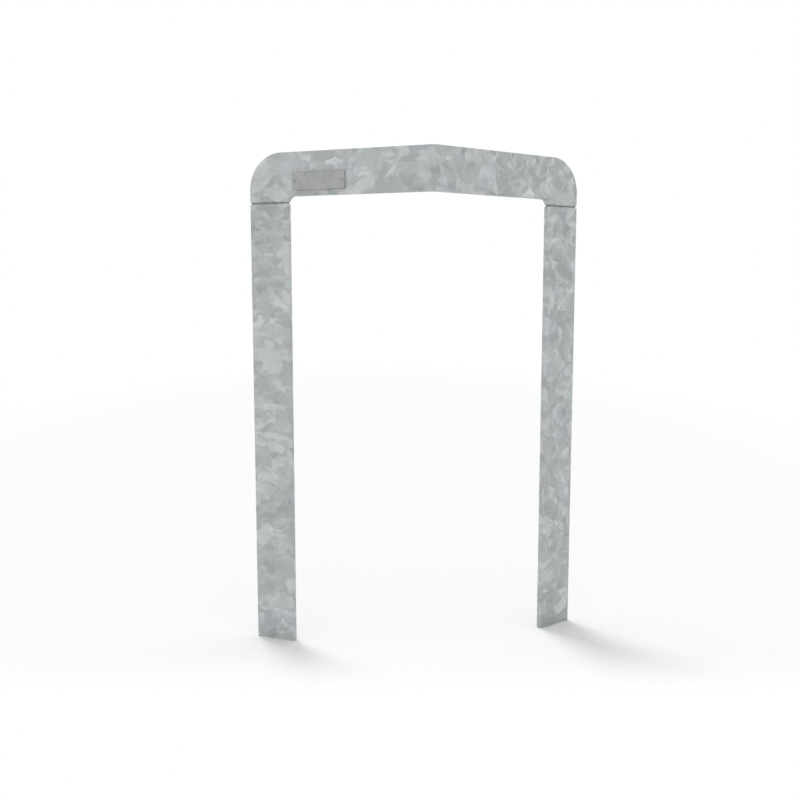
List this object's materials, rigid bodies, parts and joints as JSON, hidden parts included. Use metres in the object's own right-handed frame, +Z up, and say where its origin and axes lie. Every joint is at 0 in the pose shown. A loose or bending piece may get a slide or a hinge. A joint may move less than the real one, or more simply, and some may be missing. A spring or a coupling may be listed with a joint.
{
  "type": "bike rack",
  "caption": "In-ground bike rack: a tall hoop of galvanised flat bar with a crown bent at its middle, welded legs, a bare name plate and cross bars on the buried ends.",
  "frame": {"origin": "on the ground line, midway between the centres of the legs", "axes": "+X along the rack to the right, +Y from the convex front to the back, +Z up"},
  "size_m": [0.6024, 0.2343, 1.07],
  "materials": {
    "galvanised_steel": "hot-dip galvanised with large zinc crystals",
    "weld_metal": "weld bead under dull zinc",
    "plate_metal": "cast, fine matt grey",
    "rivet_steel": "plain stainless",
    "pin_steel": "ground",
    "ribbed_bar_steel": "hot rolled, mill scale"
  },
  "bodies": {
    "root": {"crown": "galvanised_steel", "left_leg": "galvanised_steel", "right_leg": "galvanised_steel", "left_joint_pins": "pin_steel", "right_joint_pins": "pin_steel", "left_joint_weld": "weld_metal", "right_joint_weld": "weld_metal", "left_anchor_bar": "ribbed_bar_steel", "right_anchor_bar": "ribbed_bar_steel", "name_plate": "plate_metal", "name_plate_rivets": "rivet_steel"}
  },
  "joints": []
}
